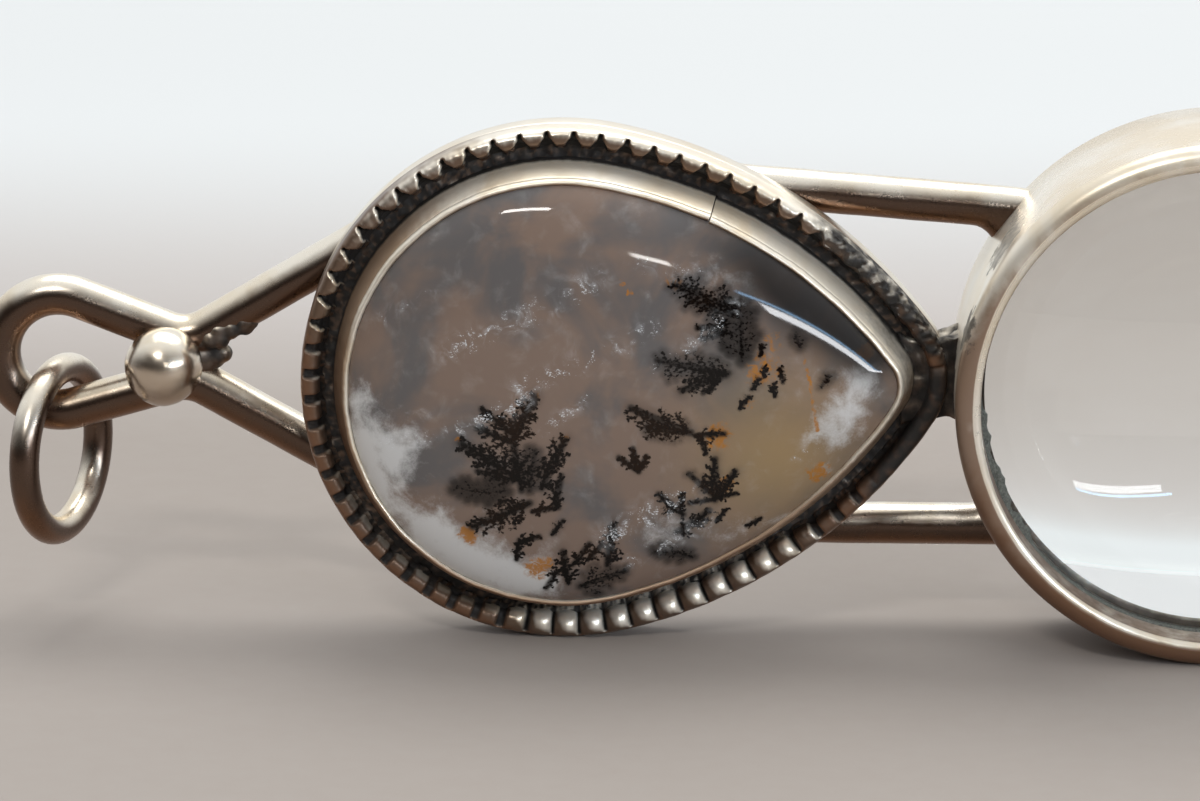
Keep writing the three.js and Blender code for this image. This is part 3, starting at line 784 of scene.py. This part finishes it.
# Stone
stone = {"girdle": 3, "dome": 3.9, "domeCentre": 3, "around": 640, "rings": 144, "ease": 1.25}
ferns = [  # root x, z, tip x, z, and how blurred it lies in the stone
    (-2.6, -5.2, -6.6, -2.7, 0), (-2.6, -5.8, -3.2, -2.2, 0.3), (-3.2, -2.4, -1.7, 0.7, 0),
    (-3.2, -1.9, -5.2, -0.3, 0), (-3.2, -2.5, -5.5, -1.6, 0), (-2.1, -5.8, -1.7, -3, 0.8),
    (-1.3, -5.6, 0.3, -2.2, 0), (-0.4, -6.9, 0, -4.7, 0.2), (-2.1, -6.7, -5.9, -8.6, 0.1),
    (-3.2, -5.2, -5.5, -4.6, 0.2), (-1.9, -7.3, -0.2, -7, 0), (-3.6, -5.9, -7, -5.8, 1),
    (-0.6, -8.9, 0.1, -7.9, 0.3), (-3, -10.9, -2.8, -9.4, 0), (-2.9, -9.7, -1.5, -9.1, 0),
    (0.4, -12.6, 0.1, -10.2, 0.1), (0.7, -11.2, 1.8, -9.6, 0), (1.7, -10.8, 2.7, -9.6, 0.1),
    (3, -11.2, 3.4, -8.2, 0.1), (1.2, -12.9, 4.2, -11.7, 0.7), (-0.4, -11.8, -1.1, -13.1, 0.1),
    (8.2, -1.6, 4.6, 0, 0.1), (8.5, -1.7, 5.7, -1.3, 0.5), (8.8, -1.9, 10.7, -1.8, 0.2),
    (9.1, -1.9, 9.5, -3.2, 0.1),
    (5.1, -4.4, 3.8, -3.4, 0), (5.1, -4.4, 4.7, -2.8, 0), (5.1, -4.3, 5.6, -3.3, 0),
    (10.1, -6.5, 10.1, -3.6, 0.1), (10.1, -6.4, 11.4, -4.5, 0), (10, -6.2, 8.4, -4.6, 0.5),
    (10.1, -6.4, 11.5, -6.1, 0), (9.9, -6.5, 8.4, -6.7, 0.3),
    (8, -7.5, 6.4, -6, 0.1), (7.9, -7.2, 7.9, -6, 0.1), (7.6, -8.8, 9.7, -7.3, 0.1),
    (10.2, -8.1, 10.8, -7.3, 0), (8.6, -10.8, 6.1, -10.3, 0.8), (13.1, -8.1, 12.2, -8.6, 0.2),
    (11.8, 3.1, 11.7, 6.9, 0.9), (10.8, 5.5, 8.9, 5.3, 0.3), (11, 4.9, 9.2, 4.6, 0.4),
    (11.4, 6.4, 7.4, 8.1, 0.5), (11.6, 5.9, 8.3, 7.2, 0.6), (10.9, 2.3, 6.3, 3.2, 0.6),
    (10.8, 2.2, 7.9, 1.2, 0.2), (10.4, 1.9, 9.3, 1, 0.1),
    (13, 3.4, 13.1, 4.1, 0.3), (13.3, 2, 13.3, 2.6, 0.1), (14.5, 1.6, 14.3, 2.5, 0.1),
    (14, 0.7, 13.9, 1.5, 0), (11.7, -0.1, 12.3, 0.7, 0.2), (12.5, 1.2, 12.9, 1.9, 0.3),
    (17, 1.2, 17.5, 1.9, 0.6), (15.6, 3.9, 15.3, 4.7, 0.7),
]
rust = [  # x, z, reach and strength
    (-6.2, -9.2, 0.75, 1), (-1.6, -11.5, 0.95, 0.9), (-1, -11.1, 0.6, 0.8), (19.9, 3.3, 0.7, 0.9),
    (4, 8.3, 0.26, 0.9), (4.5, 7.6, 0.3, 0.9), (13.2, 2.5, 1.5, 0.6), (13.6, 4.3, 1.2, 0.45),
    (10.3, -2, 1, 0.85), (10.9, -5.3, 0.8, 0.6), (16.9, -4.9, 0.9, 0.8), (12.3, 0.4, 0.8, 0.5),
    (-1.6, 0.7, 0.3, 0.6), (-6.8, -2.4, 0.3, 0.6), (0.4, -2.1, 0.3, 0.6), (7.3, 8.2, 0.7, 0.5),
]
vein = [(15.9, 3.1), (16.3, 1.4), (16.6, -0.6), (16.8, -1.8)]
clouds = [  # x, z, reach along x and z, and strength: white milk in the stone
    (-13.2, -2.6, 2.6, 4.2, 0.75), (-11.2, -3.4, 2.4, 2, 0.6), (-11.5, -7, 3, 3, 0.6),
    (-6.6, -11.6, 3.6, 2.6, 1.15), (-2.8, -12.6, 3.4, 1.7, 1.15), (-8.8, -9.4, 2.2, 2, 0.6),
    (18.6, -0.3, 1.9, 2.3, 0.75), (17.6, -2.6, 1.6, 2, 0.5), (6, -8.8, 2.2, 1.6, 0.55),
    (12.6, -8.9, 3, 1.4, 0.5), (8.6, 8.6, 3.2, 1.6, 0.4), (19.6, 2, 1.2, 1.2, 0.5),
]
streaks = [  # veils of white specks: x, z at both ends, width and strength
    (-7.3, 3.6, 2.4, 8.4, 0.75, 0.8), (-2.7, 1.2, 6, 5.3, 0.6, 0.8), (-7.2, -1.9, -2.4, 0.3, 0.5, 0.9),
    (-1.2, -1.6, 1.6, 0.6, 0.35, 0.8), (3.4, -9, 8, -6.2, 0.9, 1), (4.6, -10.8, 9.6, -8, 0.6, 0.7),
    (6.4, 2.6, 11.4, 6.6, 0.5, 0.7), (-12, 5.2, -8.6, 7.2, 0.4, 0.5), (5, 9.6, 9, 8.8, 0.6, 0.5),
    (15.4, -3.6, 19, -1.6, 0.4, 0.6), (-11.6, -3, -8.8, -2.4, 0.5, 0.6),
]
warmth = (14.2, -3.6, 5.0)  # yellow-brown zone: x, z and reach
paintedDarkEdge = (8.6, 12.0, 20.6, 4.2, 2.9)  # painted dark reflection and shade under the upper right edge: x, z at both ends and reach


fernShape = {  # for stems, twigs and side twigs
    "radius": (0.07, 0.045, 0.03), "pitch": (0.28, 0.2), "fewest": (5, 2), "reach": (0.42, 0.5),
    "shortest": (0.3, 0), "longest": (1.35, 0.6), "spread": (32, 62), "bend": 0.1, "bare": 0.24,
}


def growFern(draw, root, tip, level=0):
    f = fernShape
    stem = np.subtract(tip, root)
    length = math.hypot(*stem)
    bends = np.array([-stem[1], stem[0]]) * draw.uniform(-f["bend"], f["bend"])
    radius = f["radius"][level] * draw.uniform(0.8, 1.2)

    def onStem(t):
        return np.add(root, stem * t + bends * math.sin(math.pi * t))

    knots = [onStem(t) for t in (0, 0.25, 0.5, 0.75, 1)]
    parts = [(*knots[i], *knots[i + 1], radius * (1.1 - 0.22 * i)) for i in range(4)]
    if level == 2 or length < f["bare"]:
        return parts
    count = max(f["fewest"][level], round(length / f["pitch"][level]))
    for i in range(count):
        t = (i + draw.uniform(0.3, 0.8)) / count
        start = onStem(t)
        side = 1 if i % 2 else -1
        turn = math.atan2(stem[1], stem[0]) + side * math.radians(draw.uniform(*f["spread"]))
        reach = length * f["reach"][level] * (1.05 - 0.72 * t) * draw.uniform(0.55, 1.15)
        reach = min(max(reach, f["shortest"][level]), f["longest"][level])
        parts += growFern(draw, start, start + reach * np.array([math.cos(turn), math.sin(turn)]), level + 1)
    return parts


def segmentDistance(points, part):  # from points to a stretch, less its thickness
    start, stretch = np.array(part[:2]), np.subtract(part[2:4], part[:2])
    t = np.clip((points - start) @ stretch / max(stretch @ stretch, 1e-9), 0, 1)
    return np.hypot(*(points - start - t[:, None] * stretch).T) - part[4]


def drawFern(parts, pixel, margin):  # distances to a fern on a fine grid of its own
    ends = np.array(parts)[:, :4].reshape(-1, 2)
    low = ends.min(0) - margin
    wide, high = np.ceil((ends.max(0) + margin - low) / pixel).astype(int)
    away = np.full((wide, high), margin)
    columns, rows = np.arange(wide) * pixel + low[0], np.arange(high) * pixel + low[1]
    across, up = np.meshgrid(columns, rows, indexing="ij")
    for part in parts:
        box = np.array(part[:4]).reshape(2, 2)
        first = np.floor((box.min(0) - margin / 2 - low) / pixel).astype(int).clip(0)
        last = np.ceil((box.max(0) + margin / 2 - low) / pixel).astype(int)
        window = (slice(first[0], last[0]), slice(first[1], last[1]))
        spots = np.stack([across[window].ravel(), up[window].ravel()], 1)
        near = segmentDistance(spots, part).reshape(away[window].shape)
        away[window] = np.minimum(away[window], near)
    return away, low


def falloff(away, reach):  # 1 at no distance, fading beyond the reach
    return np.exp(-(away / reach) ** 2)


def stoneLayers(points):
    draw = random.Random(11)
    x, z = points.T
    fern = np.full(len(points), 2.0)
    smoke, rusty, milk, specks = np.zeros((4, len(points)))
    pixel = 0.06
    for x0, z0, x1, z1, blur in ferns:
        away, low = drawFern(growFern(draw, (x0, z0), (x1, z1)), pixel, 0.9 + blur)
        cells = np.round((points - low) / pixel).astype(int)
        inside = np.all((cells >= 0) & (cells < away.shape), axis=1)
        away = away[tuple(cells[inside].T)]
        fern[inside] = np.minimum(fern[inside], away + 0.08 * blur)
        haze = falloff(np.clip(away, 0, None), 0.2 + 0.45 * blur) * (0.2 + 0.7 * blur)
        core = segmentDistance(points[inside], (x0, z0, x1, z1, 0))
        wide = min(1, math.hypot(x1 - x0, z1 - z0) / 3)
        haze = np.maximum(haze, falloff(core, 0.12 + 0.26 * wide) * 0.98)
        haze = np.maximum(haze, falloff(core, 0.9) * 0.5 * wide)
        smoke[inside] = np.maximum(smoke[inside], haze)
    for spotX, spotZ, reach, strength in rust:
        rusty = np.maximum(rusty, strength * falloff(np.hypot(x - spotX, z - spotZ), reach))
    for a, b in zip(vein, vein[1:]):
        away = np.clip(segmentDistance(points, (*a, *b, 0.05)), 0, None)
        rusty = np.maximum(rusty, 0.55 * falloff(away, 0.13))
    for spotX, spotZ, reachX, reachZ, strength in clouds:
        milk += strength * falloff(np.hypot((x - spotX) / reachX, (z - spotZ) / reachZ), 1)
    for x0, z0, x1, z1, width, strength in streaks:
        away = np.clip(segmentDistance(points, (x0, z0, x1, z1, 0.1)), 0, None)
        specks = np.maximum(specks, strength * falloff(away, width))
    warm = falloff(np.hypot(x - warmth[0], z - warmth[1]), warmth[2])
    # painted dark reflection and shade along the upper right edge, fading towards the left
    shade = falloff(segmentDistance(points, (*paintedDarkEdge[:4], 0)), paintedDarkEdge[4])
    shade *= 0.2 + 0.8 * smoothStep(6.0, 17.0, x)
    return {"fern": fern, "smoke": smoke, "rust": rusty, "milk": np.clip(milk, 0, 1.2), "specks": specks,
            "warm": warm, "shade": shade}


def outlineAt(share):  # points at shares of the outline's length
    lengths = [a["radius"] * (a["end"] - a["start"]) for a in pearArcs]
    after = np.cumsum(lengths)
    along = share * after[-1]
    x, z = np.zeros_like(share), np.zeros_like(share)
    for arc, length, end in zip(pearArcs, lengths, after):
        here = (along > end - length - 1e-6) & (along < end + 1e-6)
        turn = arc["start"] + (along[here] - end + length) / arc["radius"]
        x[here] = arc["x"] + arc["radius"] * np.cos(turn)
        z[here] = arc["z"] + arc["radius"] * np.sin(turn)
    return x, z


def makeStone(material):
    bm = bmesh.new()
    bmesh.ops.create_grid(bm, x_segments=stone["around"], y_segments=stone["rings"], size=0.5)
    grid = readPoints(bm) + 0.5  # along the outline, and in to the dome's middle
    x, z = outlineAt(grid[:, 0])
    share = 1 - np.clip(grid[:, 1], 0, 1) ** stone["ease"]
    rise = stone["dome"] * np.sqrt(1 - share ** 2)
    middle = stone["domeCentre"]
    writePoints(bm, np.stack([middle + (x - middle) * share, seat - stone["girdle"] - rise, z * share], 1))
    bmesh.ops.remove_doubles(bm, verts=bm.verts, dist=weld)
    wall = bmesh.ops.extrude_edge_only(bm, edges=openEdges(bm))["geom"]
    foot = [g for g in wall if isinstance(g, bmesh.types.BMVert)]
    bmesh.ops.translate(bm, verts=foot, vec=(0, stone["girdle"], 0))
    bmesh.ops.contextual_create(bm, geom=[g for g in wall if isinstance(g, bmesh.types.BMEdge)])
    toPlace(bm, True)
    piece = addPiece(bm, "agate_cabochon_dome", material, ["agate_cabochon"], sharp=60)
    points = (meshRows(piece.data.vertices, "co") - np.array(pearCentre)) / mm
    for name, values in stoneLayers(points[:, [0, 2]]).items():
        setLayer(piece.data, name, values)


stoneTones = {
    "grey": colour(0.130, 0.121, 0.119), "tan": colour(0.222, 0.161, 0.128),
    "warm": colour(0.34, 0.235, 0.12), "rust": colour(0.40, 0.165, 0.03),
    "milk": colour(0.70, 0.705, 0.70), "speck": colour(0.70, 0.72, 0.74),
    "fern": colour(0.004, 0.003, 0.0025), "twig": colour(0.016, 0.007, 0.003),
    # edge is the colour of the painted dark reflection and shade under the upper right edge
    "smoke": colour(0.014, 0.012, 0.011), "edge": colour(0.020, 0.019, 0.019),
}


def makeAgate():
    material, s = newMaterial("dendritic_agate")
    t = stoneTones
    fine = s.noise(6.5, 5, roughness=0.7)
    wisp = s.noise(0.55, 6, distortion=0.35)
    veil = s.noise(0.13, 4, distortion=0.4)
    clump = s.noise(0.9, 3, distortion=1.2)
    height = s.node("SeparateXYZ", None, {0: s.place()}, "Z")
    greyer = (18 - height) * 0.007  # towards the top, from the stone's middle at 18 mm
    tone = s.mix((veil + greyer).step(0.38, 0.58), t["grey"], t["tan"])
    tone = s.mix(s.layer("warm") * 0.9, tone, t["warm"])
    tone = s.mix((wisp - 0.5).step(0.0, 0.3) * 0.12, tone, t["milk"])
    milk = (s.layer("milk") * 1.1 + (wisp - 0.5) * 2.0 + (fine - 0.5) * 0.5).step(0.3, 1.25)
    tone = s.mix(milk * 0.85, tone, t["milk"])
    blotch = s.noise(1.9, 4, distortion=0.9)
    rusty = s.layer("rust")
    stain = (rusty + (fine - 0.5) * 0.9 + (blotch - 0.5) * 2.4 - 0.25) * rusty.step(0.05, 0.5)
    tone = s.mix(stain.step(0.0, 0.6) * 0.9, tone, t["rust"])
    tone = s.mix((s.layer("smoke") + (wisp - 0.5) * 0.5).step(0.12, 0.95) * 0.9, tone, t["smoke"])
    grains = s.node("TexVoronoi", None, {"Vector": s.place(), "Scale": 4.5}, "Distance")
    fern = (s.layer("fern") + (fine - 0.5) * 0.26 + (grains - 0.45) * 0.14).step(0.11, 0.03)
    tone = s.mix(fern * 0.99, tone, s.mix((veil + fine * 0.4).step(0.66, 0.9), t["fern"], t["twig"]))
    # painted dark reflection and shade under the upper right edge
    tone = s.mix(s.layer("shade").step(0.05, 0.8) * 0.94, tone, t["edge"])
    dust = s.noise(6.5, 3, (1, 1, 1.5), roughness=0.7)
    veiled = s.layer("specks") * clump.step(0.42, 0.62)
    specks = (dust + veiled * 0.2).step(0.68, 0.77) * veiled.step(0.02, 0.4)
    haze = veiled * wisp.step(0.35, 0.7) * 0.4
    tone = s.mix((specks + haze).least(0.95), tone, t["speck"])
    s.surface(Base_Color=tone, Roughness=0.3, Specular_IOR_Level=0.0, Coat_Weight=0.4, Coat_Roughness=0.05,
              Coat_IOR=1.54, Normal=s.bump(wisp, 0.06, 0.05))
    return material


def makeGlass():
    material, s = newMaterial("lens_glass_clear")
    dust = s.noise(2.4, 5, roughness=0.7)
    s.surface(Base_Color=colour(0.97, 0.99, 0.985), Roughness=dust.step(0.66, 0.9) * 0.08, IOR=1.52,
              Transmission_Weight=1.0)
    return material


def makePuttyPaint():
    material, s = newMaterial("lens_putty_dry")
    crumb = s.noise(6, 6, roughness=0.7)
    tone = s.mix(crumb.step(0.3, 0.7), colour(0.055, 0.058, 0.05), colour(0.20, 0.21, 0.185))
    s.surface(Base_Color=tone, Roughness=0.85, Normal=s.bump(crumb, 0.8, 0.12))
    return material


# Stage: a pale floor, paler further back, its far part also glowing as painted light
stageShape = {"radius": 2.5, "sides": 96}
stageTones = {
    "floor": colour(0.335, 0.295, 0.265), "haze": colour(0.46, 0.425, 0.405),
    "far": colour(0.645, 0.668, 0.678), "horizon": colour(0.80, 0.83, 0.835),
    "glow": colour(0.34, 0.36, 0.36),
}


def makeStage():
    material, s = newMaterial("studio_paper")
    back = s.node("SeparateXYZ", None, {0: s.place()}, "Y")
    fibre = s.noise(0.5, 5)
    tone = s.mix(back.step(42, 90), stageTones["floor"], stageTones["haze"])
    tone = s.mix(back.step(72, 150), tone, stageTones["far"])
    tone = s.mix(back.step(160, 450), tone, stageTones["horizon"])
    tone = s.mix(fibre * 0.06, tone, stageTones["far"])
    glow = s.mix(back.step(300, 900), colour(0, 0, 0), stageTones["glow"])  # painted light: the far floor glows so that it stays pale
    s.surface(Base_Color=tone, Roughness=0.75, Emission_Color=glow, Emission_Strength=1.0)
    bm = bmesh.new()
    bmesh.ops.create_circle(bm, cap_ends=True, segments=stageShape["sides"], radius=stageShape["radius"])
    mesh = bpy.data.meshes.new("studio_floor")
    bm.to_mesh(mesh)
    bm.free()
    mesh.materials.append(material)
    floor = bpy.data.objects.new("studio_floor", mesh)
    scene.collection.objects.link(floor)


def makeWorld():
    world = bpy.data.worlds.new("studio_room")
    scene.world = world
    s = Shade(world)
    way = s.node("TexCoord", output="Generated")
    back = s.node("SeparateXYZ", None, {0: way}, "Y")
    up = s.node("SeparateXYZ", None, {0: way}, "Z")
    level = (up * 0.75 + back * 0.55).step(-0.2, 0.6)
    tone = s.mix(level, colour(0.055, 0.05, 0.048), colour(0.96, 0.97, 0.98))
    sky = s.node("Background", None, {"Color": tone, "Strength": 0.9})
    s.node("OutputWorld", None, {"Surface": sky})


lamps = [  # name, place, size, colour and power
    ("window", (0.486, -0.504, 0.222), (0.50, 0.032), (0.95, 0.97, 1.0), 1.95),
    ("sky_strip", (0.47, -0.52, 0.251), (0.54, 0.012), (0.35, 0.65, 1.0), 0.42),
    ("key", (-0.16, -0.45, 0.46), (0.16, 0.035), (1.0, 0.97, 0.93), 0.9),
    ("key_low", (0.097, -0.55, 0.22), (0.05, 0.015), (1.0, 0.97, 0.93), 0.1),
    ("overhead", (0.05, 0.24, 0.58), (0.5, 0.36), (1.0, 0.99, 0.96), 2.0),
]


def makeLamps():
    aim = (cadBounds[0] + cadBounds[1]) / 2
    for name, place, size, tint, power in lamps:
        light = bpy.data.lights.new(name, "AREA")
        light.shape = "RECTANGLE"
        light.size, light.size_y = size
        light.color = tint
        light.energy = power
        lamp = bpy.data.objects.new(name, light)
        lamp.location = place
        lamp.rotation_euler = (aim - Vector(place)).to_track_quat("-Z", "Y").to_euler()
        scene.collection.objects.link(lamp)


view = {"turn": -1.77, "down": 15.59, "away": 450, "x": -8.6, "z": 15.75, "focal": 202.5}


def makeCamera():
    turn, down = math.radians(view["turn"]), math.radians(view["down"])
    ahead = Vector((math.sin(turn) * math.cos(down), math.cos(turn) * math.cos(down), -math.sin(down)))
    lensData = bpy.data.cameras.new("camera")
    lensData.sensor_fit = "HORIZONTAL"
    lensData.sensor_width = 36
    lensData.lens = view["focal"]
    lensData.clip_start = 0.01
    camera = bpy.data.objects.new("camera", lensData)
    camera.location = (Vector((view["x"], 0, view["z"])) - ahead * view["away"]) * mm
    camera.rotation_euler = ahead.to_track_quat("-Z", "Y").to_euler()
    scene.collection.objects.link(camera)
    scene.camera = camera


scene.view_settings.view_transform = "Standard"
makeCamera()
makeWorld()
makeLamps()
makeStage()
print("stage set")

wireSilver = makeSilver("wire_silver", 1.0, (0.25, 1, 1), mid=colour(0.12, 0.08, 0.06))
ballSilver = makeSilver("ball_silver", 0.5, roughness=0.16, mid=colour(0.42, 0.31, 0.23), dents=1.0)
bandStains = [((18.0, -4.5, 27.6), 3.6, 0.5), ((15.4, -6.5, 22.6), 2.8, 0.6), ((15.2, -2.5, 18.2), 3.4, 0.8)]
bandSilver = makeSilver("band_silver", 0.9, roughness=0.3, matte=0.35, patchy=0.8, dents=0.12,
                        mid=colour(0.27, 0.17, 0.115), stains=bandStains)
bezelSilver = makeSilver("bezel_silver", 0.9, roughness=0.37, matte=0.3, mid=colour(0.40, 0.265, 0.17))
beadSilver = makeSilver("bead_silver", 0.95, roughness=0.27, matte=0.4, mid=colour(0.125, 0.072, 0.045))
plateSilver = makeSilver("plate_silver", 0.95, roughness=0.26)

makeFrameWire(wireSilver)
makeBall(ballSilver)
makeSolder(plateSilver)
makeRing(wireSilver)
makePlate(plateSilver)
makeNeck(plateSilver)
makeBorder(beadSilver)
makeChannel(beadSilver)
makeBezel(bezelSilver)
makeBand(bandSilver)
makeSeat(plateSilver)
makeLens(makeGlass())
makePutty(makePuttyPaint())
makeStone(makeAgate())
print("pieces made")
